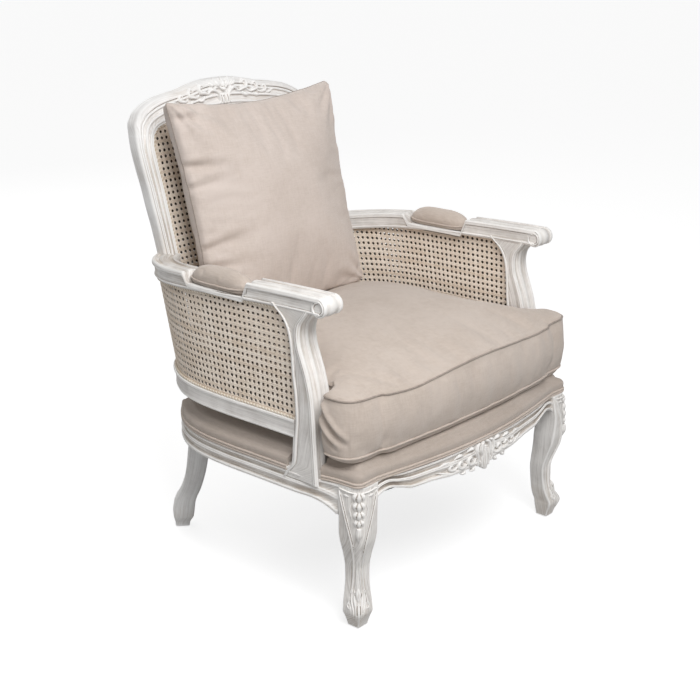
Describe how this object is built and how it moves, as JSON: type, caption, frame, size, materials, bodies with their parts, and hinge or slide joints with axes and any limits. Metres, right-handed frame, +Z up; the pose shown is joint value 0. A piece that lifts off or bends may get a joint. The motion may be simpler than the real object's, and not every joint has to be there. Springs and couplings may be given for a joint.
{
  "type": "bergere armchair",
  "caption": "Caned bergère armchair with scrolled arms, cabriole legs, arm pads, a sprung seat, a loose T-shaped seat cushion and a loose back pillow.",
  "frame": {"origin": "on the floor under the middle of the chair's overall plan", "axes": "+Z up, the chair faces -Y, +X to the right of someone who faces the chair"},
  "size_m": [0.775, 0.8046, 1],
  "materials": {
    "painted_wood": "whitewashed carved wood, worn and rubbed with a grey wax",
    "bare_wood": "plain sawn hardwood",
    "cane": "natural woven cane, lightly lacquered",
    "binder": "split cane binder",
    "linen": "matte beige upholstery cloth",
    "foam": "soft filling",
    "jute": "coarse woven webbing",
    "dust_cloth": "thin black cloth",
    "zip": "moulded zip on a cloth tape",
    "screw_steel": "plain steel screw",
    "glide_steel": "smooth steel nail-on glide"
  },
  "bodies": {
    "frame": {"crest_rail": "painted_wood", "back_bottom_rail": "painted_wood", "front_seat_rail": "painted_wood", "rear_seat_rail": "painted_wood", "left_back_post": "painted_wood", "left_front_leg": "painted_wood", "left_side_rail": "painted_wood", "left_arm_rail": "painted_wood", "left_arm_post": "painted_wood", "left_lower_rail": "painted_wood", "left_arm_pad": "linen", "left_cane_outer": "cane", "left_cane_inner": "cane", "left_cane_binder": "binder", "left_front_block": "bare_wood", "left_front_screw": "screw_steel", "left_front_glide": "glide_steel", "left_rear_block": "bare_wood", "left_rear_screw": "screw_steel", "left_rear_glide": "glide_steel", "right_back_post": "painted_wood", "right_front_leg": "painted_wood", "right_side_rail": "painted_wood", "right_arm_rail": "painted_wood", "right_arm_post": "painted_wood", "right_lower_rail": "painted_wood", "right_arm_pad": "linen", "right_cane_outer": "cane", "right_cane_inner": "cane", "right_cane_binder": "binder", "right_front_block": "bare_wood", "right_front_screw": "screw_steel", "right_front_glide": "glide_steel", "right_rear_block": "bare_wood", "right_rear_screw": "screw_steel", "right_rear_glide": "glide_steel", "back_cane_rear": "cane", "back_cane_front": "cane", "back_binder_rear": "binder", "back_binder_front": "binder", "seat_webbing": "jute", "seat_deck": "linen", "seat_welting": "linen", "rear_welting": "linen", "dust_cover": "dust_cloth"},
    "seat_cushion": {"seat_cushion_cover": "linen", "seat_cushion_foam": "foam", "seat_cushion_zip": "zip"},
    "back_pillow": {"back_pillow_cover": "linen", "back_pillow_filling": "foam", "back_pillow_zip": "zip"}
  },
  "joints": [
    {"name": "seat_cushion_slide", "type": "slide", "parent": "frame", "child": "seat_cushion", "axis": [0, -0.999, 0.0436], "range_m": [0, 0.65]},
    {"name": "back_pillow_lift", "type": "slide", "parent": "frame", "child": "back_pillow", "axis": [0, 0.2471, 0.969], "range_m": [0, 0.45]}
  ]
}
